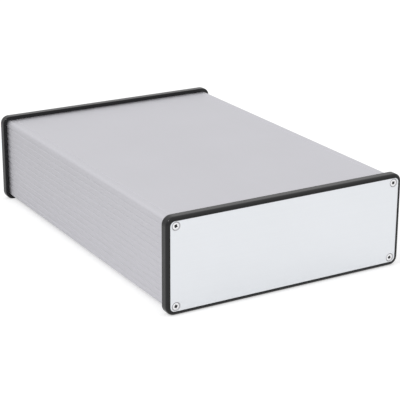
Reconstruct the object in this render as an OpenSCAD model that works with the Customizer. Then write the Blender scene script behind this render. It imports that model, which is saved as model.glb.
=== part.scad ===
// Extruded aluminium instrument enclosure with moulded end bezels.
// X runs across the width, Y along the extrusion and Z upwards, in millimetres.
// The origin is on the surface it stands on, under the middle of the enclosure.

/* [Body extrusion] */
// Width of the extruded body over its flanks
body_w = 160; // [140:1:200]
// Height of the extruded body
body_h = 55; // [54:0.5:80]
// Length of the extruded body
body_l = 230; // [120:1:400]
// Thickness of the roof, the flanks and the base strips
wall = 2.2; // [2:0.1:2.8]
// Rounding of the four long edges
edge_r = 3; // [2.6:0.1:3.8]

/* [Reeded flanks] */
// Number of evenly spaced grooves on each flank
reed_count = 12; // [2:1:12]
// Distance from one groove to the next
reed_pitch = 4.1; // [3:0.1:4.1]
// Depth of a groove
reed_depth = 0.3; // [0.2:0.05:0.6]
// Radius of a groove's rounded floor
reed_r = 0.8; // [0.7:0.05:1.2]
// Height of the last groove below the roof and above the base
reed_edge_in = 1.9; // [1.6:0.1:2.2]
// Distance of the single groove along each side of the roof from the flank
roof_line_in = 6; // [5:0.5:12]

/* [Card guides] */
// Number of circuit board slots on each flank
slot_count = 4; // [1:1:4]
// Distance from one board slot to the next
slot_pitch = 9; // [7:0.5:10]
// Width of a board slot
slot_w = 1.9; // [1.6:0.1:2.4]
// How far the guide ribs stand in from the flank
guide_l = 3; // [2:0.5:4]
// Thickness of a guide rib
guide_t = 1.2; // [1:0.1:1.6]

/* [Sliding belly plate] */
// Distance from the flank to the mouth of the rail that holds the belly plate
rail_in = 14; // [12:1:30]
// Depth of the rail's slot
rail_slot_d = 2.5; // [2:0.1:3]
// Thickness of the lip under the belly plate's tongue
rail_lip = 1; // [0.8:0.1:1.2]
// Thickness of the ledge over the belly plate's tongue
rail_ledge = 1.2; // [1:0.1:1.6]

/* [Bezels] */
// Length of a bezel along the enclosure
bezel_d = 6.2; // [5.6:0.1:8]
// Thickness of the bezel's rim around the body
rim_t = 2.3; // [1.8:0.1:3]
// Length of the skirt that wraps the end of the body
skirt_d = 2; // [1:0.1:2.4]
// Width of the flat ring that frames the end plate, from which the rim rounds back
ring_w = 0.3; // [0.2:0.1:0.8]

/* [End plates and screws] */
// Thickness of an end plate
plate_t = 2; // [1.6:0.1:2]
// How far an end plate sits below the bezel's ring
plate_sink = 0.2; // [0.1:0.05:0.3]
// Distance of each screw in from the flank
screw_in_x = 3.7; // [3.6:0.1:5]
// Distance of each screw in from the roof or the base
screw_in_z = 3; // [3:0.1:4]
// Radius of the screw's shank
screw_r = 1.45; // [1.2:0.05:1.45]
// Length of a screw from the top of its head
screw_l = 12; // [10:0.5:20]
// Radius of the screw's countersunk head
head_r = 2.5; // [2.4:0.05:2.6]

/* [Hidden] */
$fn = 48;

// Gaps between pieces that slide past each other
skirt_gap = 0.2;
plate_gap = 0.1;
tongue_gap = 0.1;
screw_gap = 0.05;
// How far one shape reaches into the next where both belong to one piece
bite = 0.5;

// The body lies along Y, and its middle is axis_z above the ground
bore_w = body_w + 2*skirt_gap;
bore_h = body_h + 2*skirt_gap;
bore_r = edge_r + skirt_gap;
bezel_h = bore_h + 2*rim_t;
total_l = body_l + 2*(bezel_d - skirt_d);
axis_z = bezel_h/2;

// Screw channels in the corners of the extrusion
port_x = body_w/2 - screw_in_x;
port_z = body_h/2 - screw_in_z;
port_bore_r = screw_r + screw_gap;
port_ring_r = port_bore_r + 1.7;
port_slit = 1;

// Rails beside the belly plate, with the slot between lip and ledge
rail_x = body_w/2 - rail_in;
rail_slot_h = wall - rail_lip;
belly_z = -body_h/2 + tongue_gap;
tongue_t = rail_slot_h - tongue_gap;
tongue_x = rail_x + rail_slot_d - 2*tongue_gap;
panel_x = rail_x - 2*tongue_gap;

// Bezel: recess for the plate, web behind it, skirt around the body
recess_d = plate_sink + plate_t;
web_t = bezel_d - skirt_d - recess_d;
web_in = 3;
lobe_r = 3.6;
nose_r = rim_t - ring_w;
back_round = 0.4;

// The countersink is a little wider than the head, which sits just below it
sink_r = head_r + 0.3;
head_sink = plate_sink + sink_r - head_r;
hole_r = screw_r + 0.15;
web_hole_r = screw_r + 0.25;
cross_span = 2.9;
cross_arm = 0.75;
cross_d = 1;
tip_l = 2.5;
tip_r = 0.4;

// ---- Shared shapes ----

module rounded_rect(w, h, r) {
    square([w - 2*r, h], center = true);
    square([w, h - 2*r], center = true);
    for (x = [-1, 1], y = [-1, 1])
        translate([x*(w/2 - r), y*(h/2 - r)]) circle(r);
}

module both_sides() {
    children();
    mirror([1, 0, 0]) children();
}

module four_corners() {
    both_sides() {
        children();
        mirror([0, 1, 0]) children();
    }
}

// Lays a cross-section drawn in X and Z along the enclosure, centred on Y
module along_body(length) {
    translate([0, 0, axis_z])
        rotate([90, 0, 0])
            linear_extrude(height = length, center = true) children();
}

// Stands a piece on one end: its own Z runs inwards from the outermost face
module at_end(front) {
    translate([0, (front ? -1 : 1)*total_l/2, axis_z])
        rotate([90, 0, front ? 180 : 0]) children();
}

module at_screws() {
    four_corners() translate([port_x, port_z, 0]) children();
}

// ---- Body ----

// Tube with the base left open between the two belly plate rails
module shell_section() {
    difference() {
        rounded_rect(body_w, body_h, edge_r);
        square([body_w - 2*wall, body_h - 2*wall], center = true);
        translate([0, -body_h/2])
            square([2*(rail_x + rail_slot_d), 3*wall], center = true);
    }
}

// Lip below, slot, and ledge above, at one side of the belly plate
module rail_section() {
    translate([rail_x, -body_h/2]) square([rail_slot_d + bite, rail_lip]);
    translate([rail_x, -body_h/2 + wall]) square([rail_slot_d + 2*bite, rail_ledge]);
    translate([rail_x + rail_slot_d, -body_h/2]) square([2*bite, wall + rail_ledge]);
}

// One circuit board slot: a rib above and a rib below it
module board_slot_section() {
    for (up = [-1, 1])
        translate([body_w/2 - wall - guide_l, up*(slot_w + guide_t)/2 - guide_t/2])
            square([guide_l + bite, guide_t]);
}

module guides_section() {
    for (i = [0:slot_count - 1])
        translate([0, (i - (slot_count - 1)/2)*slot_pitch]) board_slot_section();
}

// Round channel for a self-tapping screw, slit towards the inside
module port_ring_section() {
    intersection() {
        circle(port_ring_r);
        translate([screw_in_x - body_w/2, screw_in_z - body_h/2])
            rounded_rect(body_w, body_h, edge_r);
    }
}

module port_bore_section() {
    circle(port_bore_r);
    rotate(225) translate([0, -port_slit/2]) square([2*port_ring_r, port_slit]);
}

// One groove, centred on a surface that runs along Y of the drawing
module groove_section() {
    translate([reed_r - reed_depth, 0]) circle(reed_r, $fn = 32);
}

module reeding_section() {
    for (i = [0:reed_count - 1])
        translate([body_w/2, (i - (reed_count - 1)/2)*reed_pitch]) groove_section();
    for (up = [-1, 1])
        translate([body_w/2, up*(body_h/2 - reed_edge_in)]) groove_section();
    translate([body_w/2 - roof_line_in, body_h/2]) rotate(90) groove_section();
}

module body_section() {
    difference() {
        union() {
            shell_section();
            both_sides() {
                rail_section();
                guides_section();
            }
            at_screws() port_ring_section();
        }
        at_screws() port_bore_section();
        both_sides() reeding_section();
    }
}

module body() {
    color("silver") along_body(body_l) body_section();
}

// ---- Belly plate ----

// Panel that fills the base, with a thin tongue along each side
module belly_section() {
    translate([-panel_x, belly_z]) square([2*panel_x, wall - 2*tongue_gap]);
    translate([-tongue_x, -body_h/2 + rail_lip]) square([2*tongue_x, tongue_t]);
}

module belly_plate() {
    color("gainsboro") along_body(body_l - 2*tongue_gap) belly_section();
}

// ---- Bezels ----

// Cross-section of the rim: distance out from the recess, then depth.
// A large quarter round turns the flat ring into the outer band.
module rim_profile() {
    square([ring_w, bezel_d]);
    intersection() {
        translate([ring_w, nose_r]) circle(nose_r);
        square([rim_t, nose_r]);
    }
    translate([0, nose_r]) square([rim_t, bezel_d - nose_r - back_round]);
    translate([0, bezel_d - back_round - bite]) square([rim_t - back_round, back_round + bite]);
    translate([rim_t - back_round, bezel_d - back_round]) circle(back_round);
}

module rim_side(length) {
    rotate([90, 0, 0]) linear_extrude(height = length, center = true) rim_profile();
}

module rim_corner() {
    rotate_extrude(angle = 90) translate([bore_r, 0]) rim_profile();
}

module rim() {
    for (turn = [0:3]) {
        across = turn % 2 == 0 ? bore_w : bore_h;
        along = turn % 2 == 0 ? bore_h : bore_w;
        rotate([0, 0, 90*turn]) {
            translate([across/2, 0, 0]) rim_side(along - 2*bore_r);
            translate([across/2 - bore_r, along/2 - bore_r, 0]) rim_corner();
        }
    }
}

// Frame between the plate and the end of the body, with a lobe round each screw
module web() {
    linear_extrude(height = web_t) difference() {
        rounded_rect(bore_w + 2*bite, bore_h + 2*bite, bore_r + bite);
        difference() {
            square([bore_w - 2*web_in, bore_h - 2*web_in], center = true);
            at_screws() circle(lobe_r);
        }
        at_screws() circle(web_hole_r);
    }
}

module bezel() {
    rim();
    translate([0, 0, recess_d]) web();
}

module front_bezel() {
    color("#2b2b2d") at_end(true) bezel();
}

module rear_bezel() {
    color("#2b2b2d") at_end(false) bezel();
}

// ---- End plates ----

// Countersunk hole, from the outer face inwards
module countersunk_hole() {
    cone_d = sink_r - hole_r;
    cylinder(h = cone_d, r1 = sink_r, r2 = hole_r);
    cylinder(h = plate_t, r = hole_r);
}

module end_plate() {
    translate([0, 0, plate_sink]) difference() {
        linear_extrude(height = plate_t)
            rounded_rect(bore_w - 2*plate_gap, bore_h - 2*plate_gap, bore_r - plate_gap);
        at_screws() countersunk_hole();
    }
}

module front_plate() {
    color("whitesmoke") at_end(true) end_plate();
}

module rear_plate() {
    color("whitesmoke") at_end(false) end_plate();
}

// ---- Screws ----

module screw() {
    cone_d = head_r - screw_r;
    difference() {
        union() {
            cylinder(h = cone_d, r1 = head_r, r2 = screw_r);
            cylinder(h = screw_l - tip_l, r = screw_r);
            translate([0, 0, screw_l - tip_l]) cylinder(h = tip_l, r1 = screw_r, r2 = tip_r);
        }
        for (turn = [0, 90])
            rotate([0, 0, turn])
                cube([cross_span, cross_arm, 2*cross_d], center = true);
    }
}

module screws() {
    at_screws() translate([0, 0, head_sink]) screw();
}

module front_screws() {
    color("lightgray") at_end(true) screws();
}

module rear_screws() {
    color("lightgray") at_end(false) screws();
}

body();
belly_plate();
front_bezel();
rear_bezel();
front_plate();
rear_plate();
front_screws();
rear_screws();
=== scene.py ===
"""Dresses the extruded aluminium enclosure: satin anodised extrusion, bright sheet end
plates, black moulded bezels and plated screws, on a white studio floor."""

import math

import bpy
from mathutils import Matrix, Quaternion, Vector


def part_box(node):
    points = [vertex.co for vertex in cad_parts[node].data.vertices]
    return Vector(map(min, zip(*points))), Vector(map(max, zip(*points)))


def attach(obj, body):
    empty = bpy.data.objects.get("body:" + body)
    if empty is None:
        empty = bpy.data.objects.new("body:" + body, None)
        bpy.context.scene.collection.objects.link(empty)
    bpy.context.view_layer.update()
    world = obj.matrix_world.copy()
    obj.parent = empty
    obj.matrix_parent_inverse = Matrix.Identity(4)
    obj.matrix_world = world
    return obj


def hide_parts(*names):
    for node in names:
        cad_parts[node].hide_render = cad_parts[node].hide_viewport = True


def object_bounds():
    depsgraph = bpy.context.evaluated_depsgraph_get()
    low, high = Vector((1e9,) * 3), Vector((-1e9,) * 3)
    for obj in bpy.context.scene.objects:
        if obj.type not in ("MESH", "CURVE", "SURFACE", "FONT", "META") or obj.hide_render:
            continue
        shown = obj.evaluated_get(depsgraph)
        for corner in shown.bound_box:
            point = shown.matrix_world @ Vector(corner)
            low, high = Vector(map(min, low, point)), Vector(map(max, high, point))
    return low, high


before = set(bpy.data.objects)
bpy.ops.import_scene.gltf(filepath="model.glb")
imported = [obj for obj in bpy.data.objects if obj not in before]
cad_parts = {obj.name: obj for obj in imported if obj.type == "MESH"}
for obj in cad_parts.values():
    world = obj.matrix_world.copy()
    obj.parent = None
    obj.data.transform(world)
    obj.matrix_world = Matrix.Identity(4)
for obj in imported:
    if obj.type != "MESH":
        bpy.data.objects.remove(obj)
cad_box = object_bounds()

# ---- Camera ----

VIEW_TURN = math.radians(-30.46)      # to the left of straight on to the front plate
VIEW_RISE = math.radians(19.49)
VIEW_ROLL = math.radians(0.30)
CAMERA_PLACE = Vector((-0.4376, -0.7595, 0.3304))
SENSOR_MM = 36.0
LENS_MM = 126.33


def add_camera():
    data = bpy.data.cameras.new("product_camera")
    data.sensor_width = SENSOR_MM
    data.lens = LENS_MM
    data.clip_start = 0.01
    data.clip_end = 50.0
    camera = bpy.data.objects.new("product_camera", data)
    bpy.context.scene.collection.objects.link(camera)
    back = Vector((math.sin(VIEW_TURN) * math.cos(VIEW_RISE),
                   -math.cos(VIEW_TURN) * math.cos(VIEW_RISE),
                   math.sin(VIEW_RISE)))
    aim = (-back).to_track_quat("-Z", "Y") @ Quaternion((0, 0, 1), VIEW_ROLL)
    camera.matrix_world = Matrix.Translation(CAMERA_PLACE) @ aim.to_matrix().to_4x4()
    bpy.context.scene.camera = camera


# ---- Node helpers ----

def add_node(tree, kind, inputs=None, **settings):
    node = tree.nodes.new(kind)
    for name, value in settings.items():
        setattr(node, name, value)
    for name, value in (inputs or {}).items():
        node.inputs[name].default_value = value
    return node


def new_group(name, inputs, outputs):
    group = bpy.data.node_groups.new(name, "ShaderNodeTree")
    for socket, value in inputs.items():
        entry = group.interface.new_socket(socket, in_out="INPUT", socket_type="NodeSocketFloat")
        entry.default_value = value
    for socket in outputs:
        group.interface.new_socket(socket, in_out="OUTPUT", socket_type="NodeSocketFloat")
    return group, add_node(group, "NodeGroupInput"), add_node(group, "NodeGroupOutput")


def place_group(tree, group, inputs):
    node = add_node(tree, "ShaderNodeGroup", node_tree=group)
    for name, value in inputs.items():
        node.inputs[name].default_value = value
    return node


def math_node(tree, operation, a, b=None):
    node = add_node(tree, "ShaderNodeMath", operation=operation)
    for slot, value in enumerate((a, b)):
        if value is None:
            continue
        if isinstance(value, (int, float)):
            node.inputs[slot].default_value = value
        else:
            tree.links.new(value, node.inputs[slot])
    return node.outputs[0]


def between(tree, value, low, high):
    """A value from 0 to 1 spread over low to high."""
    node = add_node(tree, "ShaderNodeMapRange", {"To Min": low, "To Max": high})
    tree.links.new(value, node.inputs["Value"])
    return node.outputs["Result"]


def tint(tree, value, dark, light):
    """A colour between dark and light."""
    node = add_node(tree, "ShaderNodeMix", data_type="RGBA")
    node.inputs["A"].default_value = (*dark, 1)
    node.inputs["B"].default_value = (*light, 1)
    tree.links.new(value, node.inputs["Factor"])
    return node.outputs["Result"]


# ---- Shared effects ----

def make_drawn_lines():
    """Fine lines that a die or a brush leaves, long along one axis and narrow across it."""
    group, entry, leave = new_group(
        "drawn_lines", {"Across X": 900.0, "Across Y": 6.0, "Across Z": 900.0}, ["Lines"])
    place = add_node(group, "ShaderNodeTexCoord")
    axes = add_node(group, "ShaderNodeCombineXYZ")
    stretch = add_node(group, "ShaderNodeVectorMath", operation="MULTIPLY")
    noise = add_node(group, "ShaderNodeTexNoise", {"Scale": 1.0, "Detail": 3.0, "Roughness": 0.6})
    for source, target in zip(("Across X", "Across Y", "Across Z"), "XYZ"):
        group.links.new(entry.outputs[source], axes.inputs[target])
    group.links.new(place.outputs["Object"], stretch.inputs[0])
    group.links.new(axes.outputs[0], stretch.inputs[1])
    group.links.new(stretch.outputs[0], noise.inputs["Vector"])
    group.links.new(noise.outputs["Fac"], leave.inputs["Lines"])
    return group


def make_grain():
    """Even fine grain, as on etched metal or spark-eroded moulds, and a broad slow mottle."""
    group, entry, leave = new_group(
        "grain", {"Grains per metre": 2500.0, "Mottles per metre": 25.0}, ["Grain", "Mottle"])
    place = add_node(group, "ShaderNodeTexCoord")
    for source, target, detail in (("Grains per metre", "Grain", 2.0), ("Mottles per metre", "Mottle", 3.0)):
        noise = add_node(group, "ShaderNodeTexNoise", {"Detail": detail, "Roughness": 0.55})
        group.links.new(place.outputs["Object"], noise.inputs["Vector"])
        group.links.new(entry.outputs[source], noise.inputs["Scale"])
        group.links.new(noise.outputs["Fac"], leave.inputs[target])
    return group


drawn_lines = make_drawn_lines()
grain = make_grain()


# ---- Modelling helpers ----

MM = 0.001
ROUND_STEPS = 48                    # sides of what is turned
SMOOTH_ANGLE = math.radians(28)     # edges flatter than this are shaded smooth


def only_select(piece):
    bpy.ops.object.select_all(action="DESELECT")
    piece.select_set(True)
    bpy.context.view_layer.objects.active = piece


def apply_place(piece):
    only_select(piece)
    bpy.ops.object.transform_apply(location=True, rotation=True, scale=True)


def apply_modifier(piece, kind, **settings):
    only_select(piece)
    modifier = piece.modifiers.new(kind.lower(), kind)
    for name, value in settings.items():
        setattr(modifier, name, value)
    bpy.ops.object.modifier_apply(modifier=modifier.name)


def cut(piece, cutter):
    apply_modifier(piece, "BOOLEAN", operation="DIFFERENCE", solver="EXACT", object=cutter)
    bpy.data.objects.remove(cutter)


def bevel_edges(piece, chosen, width, segments):
    """Rounds the edges for which chosen(start, end) is true."""
    only_select(piece)
    mesh = piece.data
    bpy.ops.object.mode_set(mode="EDIT")
    bpy.ops.mesh.select_mode(type="EDGE")
    bpy.ops.mesh.select_all(action="DESELECT")
    bpy.ops.object.mode_set(mode="OBJECT")
    for edge in mesh.edges:
        start, end = (mesh.vertices[i].co for i in edge.vertices)
        edge.select = chosen(start, end)
    bpy.ops.object.mode_set(mode="EDIT")
    bpy.ops.mesh.bevel(offset=width, segments=segments, profile=0.5, affect="EDGES")
    bpy.ops.object.mode_set(mode="OBJECT")


def turned(name, profile):
    """A solid of revolution about Z, from (depth, radius) pairs: a disc extruded and scaled."""
    depth, radius = profile[0]
    bpy.ops.mesh.primitive_circle_add(vertices=ROUND_STEPS, radius=radius, fill_type="NGON",
                                      location=(0, 0, -depth))
    piece = bpy.context.object
    piece.name = name
    apply_place(piece)
    bpy.ops.object.mode_set(mode="EDIT")
    bpy.ops.mesh.select_all(action="SELECT")
    for next_depth, next_radius in profile[1:]:
        bpy.ops.mesh.extrude_region_move(TRANSFORM_OT_translate={"value": (0, 0, depth - next_depth)})
        share = next_radius / radius
        bpy.ops.transform.resize(value=(share, share, 1), center_override=(0, 0, 0))
        depth, radius = next_depth, next_radius
    bpy.ops.mesh.select_all(action="SELECT")
    bpy.ops.mesh.normals_make_consistent(inside=False)
    bpy.ops.object.mode_set(mode="OBJECT")
    return piece


def copy_of(piece, name):
    twin = piece.copy()
    twin.data = piece.data.copy()
    twin.name = name
    bpy.context.scene.collection.objects.link(twin)
    return twin


def shade_smooth(piece):
    only_select(piece)
    bpy.ops.object.shade_smooth_by_angle(angle=SMOOTH_ANGLE)


def joined(pieces, name):
    bpy.ops.object.select_all(action="DESELECT")
    for piece in pieces:
        piece.select_set(True)
    bpy.context.view_layer.objects.active = pieces[0]
    bpy.ops.object.join()
    pieces[0].name = name
    return pieces[0]


def dress(mesh, *materials):
    mesh.materials.clear()
    for material in materials:
        mesh.materials.append(material)


# ---- Where the ends and the screws are ----

plate_low, plate_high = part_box("front_plate")
PLATE_T = plate_high[1] - plate_low[1]
PLATE_MIDDLE_Z = (plate_low[2] + plate_high[2]) / 2
PLATE_W = plate_high[0] - plate_low[0]
PLATE_H = plate_high[2] - plate_low[2]
PLATE_CORNER_R = 3.1 * MM
PLATE_EDGE_R = 0.18 * MM
SCREW_X = 76.3 * MM
SCREW_UP = 24.5 * MM
screw_low, screw_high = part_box("front_screws")
HEAD_R = (screw_high[2] - screw_low[2]) / 2 - SCREW_UP
HEAD_FACE_Y = screw_low[1]
SCREW_L = screw_high[1] - screw_low[1]
SEAT_GAP = 0.3 * MM           # how much wider a countersink is than the head in it
HOLE_R = 1.6 * MM
CLEAR = 0.2 * MM              # how far a cutter reaches past what it cuts


def at_end(piece, rear):
    """Turns a piece that faces +Z so that it faces out of the front end or the rear end."""
    piece.rotation_euler = (math.radians(90), 0, math.radians(180) if rear else 0)
    apply_place(piece)


# ---- Screws ----

RIM_W = 0.42 * MM         # turned rim round the head's face
RIM_D = 0.14 * MM
HEAD_EDGE_D = 0.22 * MM   # depth at which the head's cone begins
HEAD_EDGE_IN = 0.03 * MM
SHANK_R = 1.12 * MM
TIP_L = 1.9 * MM
TIP_R = 0.3 * MM
CREST_R = 1.43 * MM       # over the thread's crest
RIDGE_R = 0.24 * MM       # from the middle of the thread's triangle to a corner
THREAD_PITCH = 0.7 * MM
THREAD_STEPS = 24
RECESS_SPAN = 2.9 * MM
RECESS_ARM = 0.75 * MM
RECESS_D = 0.95 * MM
RECESS_TAPER = 0.62       # size of the cross at its floor, as a share of its size at the face
WELL_R = 0.95 * MM        # of the round well in the middle of the cross, at the face
WELL_TIP_R = 0.35 * MM
WELL_D = 1.25 * MM
SCREW_TURNS = (14, 63, -21, 38)     # degrees, so that no two crosses line up


def recess_arm(turn):
    """A cutter for one slot of the cross, narrower and shorter towards its floor."""
    bpy.ops.mesh.primitive_cube_add(size=1)
    arm = bpy.context.object
    arm.scale = (RECESS_SPAN, RECESS_ARM, 2 * RECESS_D)
    arm.rotation_euler = (0, 0, turn)
    apply_place(arm)
    bpy.ops.object.mode_set(mode="EDIT")
    bpy.ops.mesh.select_all(action="DESELECT")
    bpy.ops.object.mode_set(mode="OBJECT")
    for vertex in arm.data.vertices:
        vertex.select = vertex.co.z < 0
    bpy.ops.object.mode_set(mode="EDIT")
    bpy.ops.transform.resize(value=(RECESS_TAPER, RECESS_TAPER, 1), center_override=(0, 0, 0))
    bpy.ops.object.mode_set(mode="OBJECT")
    return arm


def thread_ridge(start, length):
    """A helical ridge around the shank, swept from a small triangle."""
    bpy.ops.mesh.primitive_circle_add(vertices=3, radius=RIDGE_R, fill_type="NOTHING",
                                      location=(CREST_R - RIDGE_R, 0, -start - length),
                                      rotation=(math.radians(90), math.radians(90), 0))
    ridge = bpy.context.object
    apply_place(ridge)
    apply_modifier(ridge, "SCREW", axis="Z", angle=math.radians(360), screw_offset=THREAD_PITCH,
                   iterations=int(length / THREAD_PITCH), steps=THREAD_STEPS, render_steps=THREAD_STEPS,
                   use_merge_vertices=False, use_normal_calculate=True)
    only_select(ridge)
    bpy.ops.object.mode_set(mode="EDIT")
    bpy.ops.mesh.select_all(action="SELECT")
    bpy.ops.mesh.fill_holes(sides=3)
    bpy.ops.mesh.normals_make_consistent(inside=False)
    bpy.ops.object.mode_set(mode="OBJECT")
    return ridge


def screw_face_slot(face):
    """The slot of a screw's face: 0 plated steel, 1 painted shade in the recess, 2 painted shade on the
    head's rim.
    """
    depth = -face.center.z
    out = math.hypot(face.center.x, face.center.y)
    cone_r = HEAD_R - depth
    if 0.01 * MM < depth < 1.3 * MM and out < min(RECESS_SPAN / 2 + 0.05 * MM, cone_r - 0.15 * MM):
        return 1
    return 2 if depth < RIM_D - 0.01 * MM and out > HEAD_R - RIM_W else 0


def make_screw(steel, recess, rim):
    """A countersunk cross-recessed screw, its head's face at the origin and its shank along -Z."""
    cone_d = HEAD_R - SHANK_R
    tip_d = SCREW_L - TIP_L
    screw = turned("screw", [(0, HEAD_R - RIM_W), (RIM_D, HEAD_R - 2 * HEAD_EDGE_IN),
                             (HEAD_EDGE_D, HEAD_R - HEAD_EDGE_IN), (cone_d, SHANK_R), (tip_d, SHANK_R),
                             (SCREW_L - 0.1 * MM, 1.5 * TIP_R), (SCREW_L, TIP_R)])
    for turn in (0, math.radians(90)):
        cut(screw, recess_arm(turn))
    bpy.ops.mesh.primitive_cone_add(vertices=ROUND_STEPS // 2, radius1=WELL_TIP_R,
                                    radius2=2 * WELL_R - WELL_TIP_R, depth=2 * WELL_D)
    cut(screw, bpy.context.object)
    dress(screw.data, steel, recess, rim)
    # slots 1 and 2, in the recess and on the rim, carry painted shade
    for face in screw.data.polygons:
        face.material_index = screw_face_slot(face)
    ridge = thread_ridge(cone_d + 0.3 * MM, tip_d - cone_d - 0.4 * MM)
    dress(ridge.data, steel)
    return joined([screw, ridge], "screw")


def add_screws(rear, screw):
    places = [(side * SCREW_X, PLATE_MIDDLE_Z + up * SCREW_UP) for side in (-1, 1) for up in (-1, 1)]
    row = []
    for (x, z), turn in zip(places, SCREW_TURNS):
        copy = copy_of(screw, "screw_copy")
        copy.rotation_euler = (0, 0, math.radians(turn))
        apply_place(copy)
        at_end(copy, rear)
        copy.location = (x, -HEAD_FACE_Y if rear else HEAD_FACE_Y, z)
        apply_place(copy)
        row.append(copy)
    end = "rear" if rear else "front"
    screws = joined(row, end + "_screws_threaded")
    shade_smooth(screws)
    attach(screws, "root")
    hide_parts(end + "_screws")
    return screws


# ---- End plates ----

def make_plate(face_finish, seat_shade):
    """Sheet with rounded corners, softened edges and countersunk holes, its face at the origin."""
    bpy.ops.mesh.primitive_cube_add(size=1, location=(0, 0, -PLATE_T / 2))
    plate = bpy.context.object
    plate.scale = (PLATE_W, PLATE_H, PLATE_T)
    apply_place(plate)
    bevel_edges(plate, lambda a, b: abs(a.z - b.z) > PLATE_T / 2, PLATE_CORNER_R, 14)
    bevel_edges(plate, lambda a, b: abs(a.z) < 1e-6 and abs(b.z) < 1e-6, PLATE_EDGE_R, 3)
    sink_r = HEAD_R + SEAT_GAP
    cone_d = sink_r - HOLE_R
    for x in (-SCREW_X, SCREW_X):
        for y in (-SCREW_UP, SCREW_UP):
            cutter = turned("cutter", [(-CLEAR, sink_r + CLEAR), (cone_d, HOLE_R), (PLATE_T + CLEAR, HOLE_R)])
            cutter.location = (x, y, 0)
            apply_place(cutter)
            cut(plate, cutter)
    dress(plate.data, face_finish, seat_shade)
    # slot 1, the countersinks' walls, carries painted shade
    for face in plate.data.polygons:
        out = math.hypot(abs(face.center.x) - SCREW_X, abs(face.center.y) - SCREW_UP)
        face.material_index = 1 if out < sink_r and abs(face.normal.z) < 0.95 else 0
    return plate


def add_plate(rear, plate):
    end = "rear" if rear else "front"
    sheet = copy_of(plate, end + "_plate_sheet")
    at_end(sheet, rear)
    sheet.location = (0, -plate_low[1] if rear else plate_low[1], PLATE_MIDDLE_Z)
    apply_place(sheet)
    shade_smooth(sheet)
    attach(sheet, "root")
    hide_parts(end + "_plate")
    return sheet


def add_end_pieces():
    # the screws' recesses and rims and the plates' countersinks are painted shade
    screw = make_screw(plated_steel(), painted_shade_recess(), painted_shade_rim())
    plate = make_plate(satin_sheet(), painted_shade_seat())
    for rear in (False, True):
        add_screws(rear, screw)
        add_plate(rear, plate)
    for pattern in (screw, plate):
        bpy.data.objects.remove(pattern)


# ---- Materials ----

def new_material(name, **sockets):
    material = bpy.data.materials.new(name)
    material.use_nodes = True
    tree = material.node_tree
    shader = tree.nodes["Principled BSDF"]
    for socket, value in sockets.items():
        shader.inputs[socket.replace("_", " ")].default_value = value
    return material, tree, shader


def bump(tree, shader, height, strength, distance):
    node = add_node(tree, "ShaderNodeBump", {"Strength": strength, "Distance": distance})
    tree.links.new(height, node.inputs["Height"])
    tree.links.new(node.outputs["Normal"], shader.inputs["Normal"])


def metal(name, dark, light, rough, lines_across, line_share):
    """Metal with drawn or brushed lines over a fine grain. line_share sets how much the lines show."""
    material, tree, shader = new_material(name, Metallic=1.0)
    lines = place_group(tree, drawn_lines, dict(zip(("Across X", "Across Y", "Across Z"), lines_across)))
    specks = place_group(tree, grain, {"Grains per metre": 3000.0, "Mottles per metre": 22.0})
    mixed = math_node(tree, "ADD",
                      math_node(tree, "MULTIPLY", lines.outputs["Lines"], line_share),
                      math_node(tree, "MULTIPLY", specks.outputs["Grain"], 1.0 - line_share))
    tone = math_node(tree, "ADD",
                     math_node(tree, "MULTIPLY", mixed, 0.6),
                     math_node(tree, "MULTIPLY", specks.outputs["Mottle"], 0.4))
    tree.links.new(tint(tree, tone, dark, light), shader.inputs["Base Color"])
    tree.links.new(between(tree, mixed, *rough), shader.inputs["Roughness"])
    bump(tree, shader, mixed, 0.25, 0.00002)
    return material


def anodised_extrusion():
    return metal("anodised_extrusion", dark=(0.585, 0.58, 0.61), light=(0.655, 0.65, 0.69),
                 rough=(0.40, 0.52), lines_across=(1400.0, 5.0, 1400.0), line_share=0.6)


def satin_sheet():
    return metal("satin_sheet", dark=(0.75, 0.77, 0.80), light=(0.83, 0.85, 0.88),
                 rough=(0.26, 0.38), lines_across=(8.0, 1200.0, 1200.0), line_share=0.5)


def plated_steel():
    return metal("plated_steel", dark=(0.82, 0.82, 0.84), light=(0.93, 0.93, 0.94),
                 rough=(0.20, 0.30), lines_across=(900.0, 900.0, 900.0), line_share=0.3)


def painted_shade_seat():
    """The countersinks' walls: a duller cut finish, with their colour darkened as painted shade."""
    return metal("painted_shade_seat", dark=(0.46, 0.46, 0.48), light=(0.60, 0.60, 0.62),
                 rough=(0.34, 0.48), lines_across=(700.0, 3000.0, 700.0), line_share=0.5)


def painted_shade_rim():
    """The rim of a screw head, darkened as painted shade."""
    return metal("painted_shade_rim", dark=(0.34, 0.34, 0.36), light=(0.48, 0.48, 0.50),
                 rough=(0.34, 0.48), lines_across=(1500.0, 1500.0, 1500.0), line_share=0.3)


def painted_shade_recess():
    """Steel in the driver's cross, darkened as painted shade."""
    material, tree, shader = new_material("painted_shade_recess", Metallic=1.0)
    specks = place_group(tree, grain, {"Grains per metre": 5000.0, "Mottles per metre": 900.0})
    tree.links.new(tint(tree, specks.outputs["Mottle"], (0.10, 0.10, 0.105), (0.22, 0.22, 0.23)),
                   shader.inputs["Base Color"])
    tree.links.new(between(tree, specks.outputs["Grain"], 0.45, 0.65), shader.inputs["Roughness"])
    return material


def moulded_black():
    """Black plastic with the even grain of a spark-eroded mould."""
    material, tree, shader = new_material("moulded_black", IOR=1.42)
    specks = place_group(tree, grain, {"Grains per metre": 2200.0, "Mottles per metre": 40.0})
    tree.links.new(tint(tree, specks.outputs["Mottle"], (0.002, 0.002, 0.0025), (0.0045, 0.0045, 0.0055)),
                   shader.inputs["Base Color"])
    tree.links.new(between(tree, specks.outputs["Grain"], 0.16, 0.25), shader.inputs["Roughness"])
    bump(tree, shader, specks.outputs["Grain"], 0.3, 0.00003)
    return material


def finish_nodes():
    extrusion, moulding = anodised_extrusion(), moulded_black()
    for node, material in (("body", extrusion), ("belly_plate", extrusion),
                           ("front_bezel", moulding), ("rear_bezel", moulding)):
        dress(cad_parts[node].data, material)


# ---- Studio ----

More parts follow.
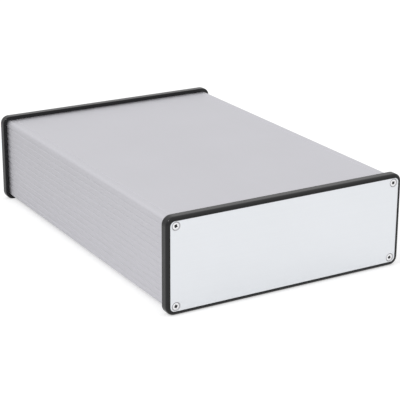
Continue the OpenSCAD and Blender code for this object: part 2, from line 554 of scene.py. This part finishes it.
FLOOR_SIZE = 16.0
FLOOR_COLOUR = 0.55       # what the floor throws back of the light that falls on it
FLOOR_GLOW = 0.50         # what the camera sees on top of that
GLOSSY_GLOW_FRONT = 0.40  # what glossy surfaces see on top of that, in front of the enclosure
GLOSSY_GLOW_REAR = 0.18   # and behind it
SKY_LOW = 0.80
SKY_HIGH = 1.05


def floor_glow(tree):
    """The floor's own light: for rays from the camera or through glass, and a little less for glossy ones;
    what glossy ones see fades from front to rear, a painted reflection.
    """
    path = add_node(tree, "ShaderNodeLightPath")
    seen = math_node(tree, "MAXIMUM", path.outputs["Is Camera Ray"], path.outputs["Is Transmission Ray"])
    place = add_node(tree, "ShaderNodeTexCoord")
    axes = add_node(tree, "ShaderNodeSeparateXYZ")
    tree.links.new(place.outputs["Object"], axes.inputs[0])
    glossy = add_node(tree, "ShaderNodeMapRange", {"From Min": -0.12, "From Max": 0.20,
                                                   "To Min": GLOSSY_GLOW_FRONT, "To Max": GLOSSY_GLOW_REAR})
    tree.links.new(axes.outputs["Y"], glossy.inputs["Value"])
    return math_node(tree, "MAXIMUM",
                     math_node(tree, "MULTIPLY", seen, FLOOR_GLOW),
                     math_node(tree, "MULTIPLY", path.outputs["Is Glossy Ray"], glossy.outputs["Result"]))


def add_floor():
    bpy.ops.mesh.primitive_plane_add(size=FLOOR_SIZE, location=(0, 0, 0))
    floor = bpy.context.object
    floor.name = "studio_floor"
    material = bpy.data.materials.new("white_floor")
    material.use_nodes = True
    tree = material.node_tree
    tree.nodes.remove(tree.nodes["Principled BSDF"])
    matt = add_node(tree, "ShaderNodeBsdfDiffuse", {"Color": (FLOOR_COLOUR,) * 3 + (1,)})
    glow = add_node(tree, "ShaderNodeEmission")
    both = add_node(tree, "ShaderNodeAddShader")
    tree.links.new(floor_glow(tree), glow.inputs["Strength"])
    tree.links.new(matt.outputs[0], both.inputs[0])
    tree.links.new(glow.outputs[0], both.inputs[1])
    tree.links.new(both.outputs[0], tree.nodes["Material Output"].inputs["Surface"])
    floor.data.materials.append(material)


def add_sky():
    world = bpy.data.worlds.new("soft_studio")
    world.use_nodes = True
    bpy.context.scene.world = world
    tree = world.node_tree
    sky = tree.nodes["Background"]
    sky.inputs["Color"].default_value = (1, 1, 1, 1)
    path = add_node(tree, "ShaderNodeLightPath")
    place = add_node(tree, "ShaderNodeTexCoord")
    axes = add_node(tree, "ShaderNodeSeparateXYZ")
    tree.links.new(place.outputs["Generated"], axes.inputs[0])
    height = add_node(tree, "ShaderNodeMapRange",
                      {"From Min": 0.0, "From Max": 0.7, "To Min": SKY_LOW, "To Max": SKY_HIGH})
    tree.links.new(axes.outputs["Z"], height.inputs["Value"])
    level = math_node(tree, "MAXIMUM", height.outputs["Result"], path.outputs["Is Camera Ray"])
    tree.links.new(level, sky.inputs["Strength"])


def add_lamp(name, place, size, power):
    data = bpy.data.lights.new(name, "AREA")
    data.shape = "SQUARE"
    data.size = size
    data.energy = power
    lamp = bpy.data.objects.new(name, data)
    bpy.context.scene.collection.objects.link(lamp)
    lamp.location = place
    middle = (cad_box[0] + cad_box[1]) / 2
    lamp.rotation_euler = (middle - Vector(place)).to_track_quat("-Z", "Y").to_euler()


def light_scene():
    add_sky()
    add_lamp("upper_left_softbox", (-0.95, -0.15, 1.20), 0.22, 5.0)


bpy.ops.object.select_all(action="DESELECT")
add_camera()
add_floor()
light_scene()
finish_nodes()
add_end_pieces()

bpy.context.scene.view_settings.view_transform = "Standard"
